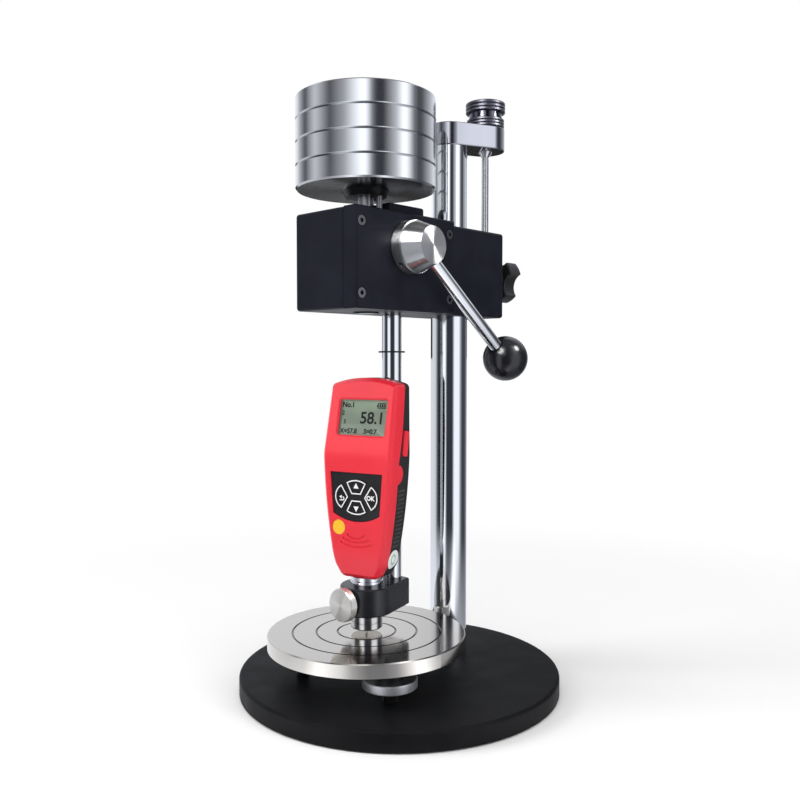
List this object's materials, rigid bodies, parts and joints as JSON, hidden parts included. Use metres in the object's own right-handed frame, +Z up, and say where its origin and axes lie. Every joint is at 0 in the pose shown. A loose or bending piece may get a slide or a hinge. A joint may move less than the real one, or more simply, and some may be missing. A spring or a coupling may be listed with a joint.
{
  "type": "digital durometer on test stand",
  "caption": "Hand-held digital durometer clamped in a constant-load bench stand with levelled round platform, column, lever-lifted spindle and stacked disc weights.",
  "frame": {"origin": "centre of the round base, on its underside", "axes": "+X to the lever's side, +Y to the back where the column stands, +Z up"},
  "size_m": [0.25, 0.259, 0.4732],
  "materials": {
    "black_paint": "satin",
    "foot_rubber": "matte",
    "chrome_plate": "polished",
    "turned_steel": "turned",
    "dark_steel": "black oxide",
    "black_anodised": "satin",
    "brass": "machined",
    "black_plastic": "matte",
    "gloss_black": "gloss",
    "red_plastic": "satin",
    "clear_window": "clear",
    "display_grey": "matte",
    "board_green": "matte",
    "yellow_plastic": "gloss",
    "cell_sleeve": "gloss"
  },
  "bodies": {
    "stand": {"base_plate": "black_paint", "base_pad": "foot_rubber", "column": "chrome_plate", "column_screw": "dark_steel", "levelling_studs": "dark_steel", "top_arm": "chrome_plate", "arm_bolt": "dark_steel"},
    "platform": {"platform": "turned_steel"},
    "wheel_1": {"levelling_wheel_1": "turned_steel"},
    "wheel_2": {"levelling_wheel_2": "turned_steel"},
    "wheel_3": {"levelling_wheel_3": "turned_steel"},
    "height_screw": {"height_screw": "turned_steel", "height_knob": "dark_steel"},
    "head": {"head_body": "black_anodised", "head_cover": "black_anodised", "cover_screws": "dark_steel", "rod_bushes": "dark_steel", "spindle_bushes": "dark_steel", "top_cap": "black_anodised", "stop_screw": "turned_steel", "pinion_bush": "brass", "clamp_pad": "brass"},
    "clamp_knob": {"clamp_stud": "turned_steel", "clamp_knob": "black_plastic"},
    "load": {"spindle": "chrome_plate", "retaining_ring": "dark_steel", "weight_rod": "turned_steel", "weight_collar": "dark_steel", "crosshead": "turned_steel", "clamp_arm": "black_anodised", "arm_grub_screw": "dark_steel"},
    "weight_1": {"weight_1": "turned_steel"},
    "weight_2": {"weight_2": "turned_steel"},
    "weight_3": {"weight_3": "turned_steel"},
    "weight_4": {"weight_4": "turned_steel"},
    "lever": {"pinion_shaft": "turned_steel", "lever_hub": "turned_steel", "hub_set_screws": "dark_steel", "lever_rod": "chrome_plate", "lever_ball": "gloss_black"},
    "thumb_screw": {"thumb_screw": "turned_steel"},
    "gauge": {"front_shell": "red_plastic", "rear_shell": "black_plastic", "display_window": "clear_window", "display_panel": "display_grey", "circuit_board": "board_green", "batteries": "cell_sleeve", "shell_screws": "dark_steel", "barrel": "chrome_plate", "presser_foot": "turned_steel", "indenter_spring": "turned_steel", "key_panel": "black_plastic", "colour_mark": "yellow_plastic"},
    "indenter": {"indenter": "turned_steel"},
    "key_up": {"key_up": "black_plastic"},
    "key_down": {"key_down": "black_plastic"},
    "key_left": {"key_left": "black_plastic"},
    "key_right": {"key_right": "black_plastic"},
    "side_key": {"side_key": "red_plastic"}
  },
  "joints": [
    {"name": "head_slide", "type": "slide", "parent": "stand", "child": "head", "axis": [0, 0, 1], "range_m": [0, 0.06]},
    {"name": "height_screw_turn", "type": "hinge", "parent": "stand", "child": "height_screw", "pos_m": [0.0136, 0.0899, 0.44], "axis": [0, 0, 1], "range_deg": [-21605, 5]},
    {"name": "clamp_knob_turn", "type": "hinge", "parent": "head", "child": "clamp_knob", "pos_m": [0, 0.12, 0.327], "axis": [0, 1, 0], "range_deg": [0, 360]},
    {"name": "load_slide", "type": "slide", "parent": "head", "child": "load", "axis": [0, 0, 1], "range_m": [0, 0.012]},
    {"name": "lever_turn", "type": "hinge", "parent": "head", "child": "lever", "pos_m": [0.045, -0.0254, 0.3385], "axis": [1, 0, 0], "range_deg": [-0.2, 76.6]},
    {"name": "platform_slide", "type": "slide", "parent": "stand", "child": "platform", "axis": [0, 0, 1], "range_m": [-0.003, 0]},
    {"name": "wheel_1_turn", "type": "hinge", "parent": "platform", "child": "wheel_1", "pos_m": [0.04532, -0.05713, 0.03], "axis": [0, 0, 1], "range_deg": [-725, 5]},
    {"name": "wheel_2_turn", "type": "hinge", "parent": "platform", "child": "wheel_2", "pos_m": [-0.00436, 0.01381, 0.03], "axis": [0, 0, 1], "range_deg": [-725, 5]},
    {"name": "wheel_3_turn", "type": "hinge", "parent": "platform", "child": "wheel_3", "pos_m": [-0.04096, -0.06468, 0.03], "axis": [0, 0, 1], "range_deg": [-725, 5]},
    {"name": "weight_1_lift", "type": "slide", "parent": "load", "child": "weight_1", "axis": [0, 0, 1], "range_m": [0, 0.076]},
    {"name": "weight_2_lift", "type": "slide", "parent": "weight_1", "child": "weight_2", "axis": [0, 0, 1], "range_m": [0, 0.06]},
    {"name": "weight_3_lift", "type": "slide", "parent": "weight_2", "child": "weight_3", "axis": [0, 0, 1], "range_m": [0, 0.045]},
    {"name": "weight_4_lift", "type": "slide", "parent": "weight_3", "child": "weight_4", "axis": [0, 0, 1], "range_m": [0, 0.03]},
    {"name": "thumb_screw_turn", "type": "hinge", "parent": "load", "child": "thumb_screw", "pos_m": [0, -0.06, 0.0755], "axis": [0, -1, 0], "range_deg": [0, 360]},
    {"name": "gauge_turn", "type": "hinge", "parent": "load", "child": "gauge", "pos_m": [0, -0.036, 0.0765], "axis": [0, 0, 1], "range_deg": [-40, 12]},
    {"name": "indenter_slide", "type": "slide", "parent": "gauge", "child": "indenter", "axis": [0, 0, 1], "range_m": [0, 0.0025], "stiffness_N_per_m": 17800, "deforming": ["indenter_spring"]},
    {"name": "key_up_press", "type": "slide", "parent": "gauge", "child": "key_up", "axis": [-0.2419, 0.9703, 0], "range_m": [0, 0.0008], "stiffness_N_per_m": 1200},
    {"name": "key_down_press", "type": "slide", "parent": "gauge", "child": "key_down", "axis": [-0.2419, 0.9703, 0], "range_m": [0, 0.0008], "stiffness_N_per_m": 1200},
    {"name": "key_left_press", "type": "slide", "parent": "gauge", "child": "key_left", "axis": [-0.2419, 0.9703, 0], "range_m": [0, 0.0008], "stiffness_N_per_m": 1200},
    {"name": "key_right_press", "type": "slide", "parent": "gauge", "child": "key_right", "axis": [-0.2419, 0.9703, 0], "range_m": [0, 0.0008], "stiffness_N_per_m": 1200},
    {"name": "side_key_press", "type": "slide", "parent": "gauge", "child": "side_key", "axis": [-0.9703, -0.2419, 0], "range_m": [0, 0.001], "stiffness_N_per_m": 1200}
  ],
  "couplings": [
    {"joint": "height_screw_turn", "follows": "head_slide", "rad_per_m": -6283.2},
    {"joint": "lever_turn", "follows": "load_slide", "rad_per_m": 111.11},
    {"joint": "wheel_1_turn", "follows": "platform_slide", "rad_per_m": 4188.8},
    {"joint": "wheel_2_turn", "follows": "platform_slide", "rad_per_m": 4188.8},
    {"joint": "wheel_3_turn", "follows": "platform_slide", "rad_per_m": 4188.8}
  ]
}
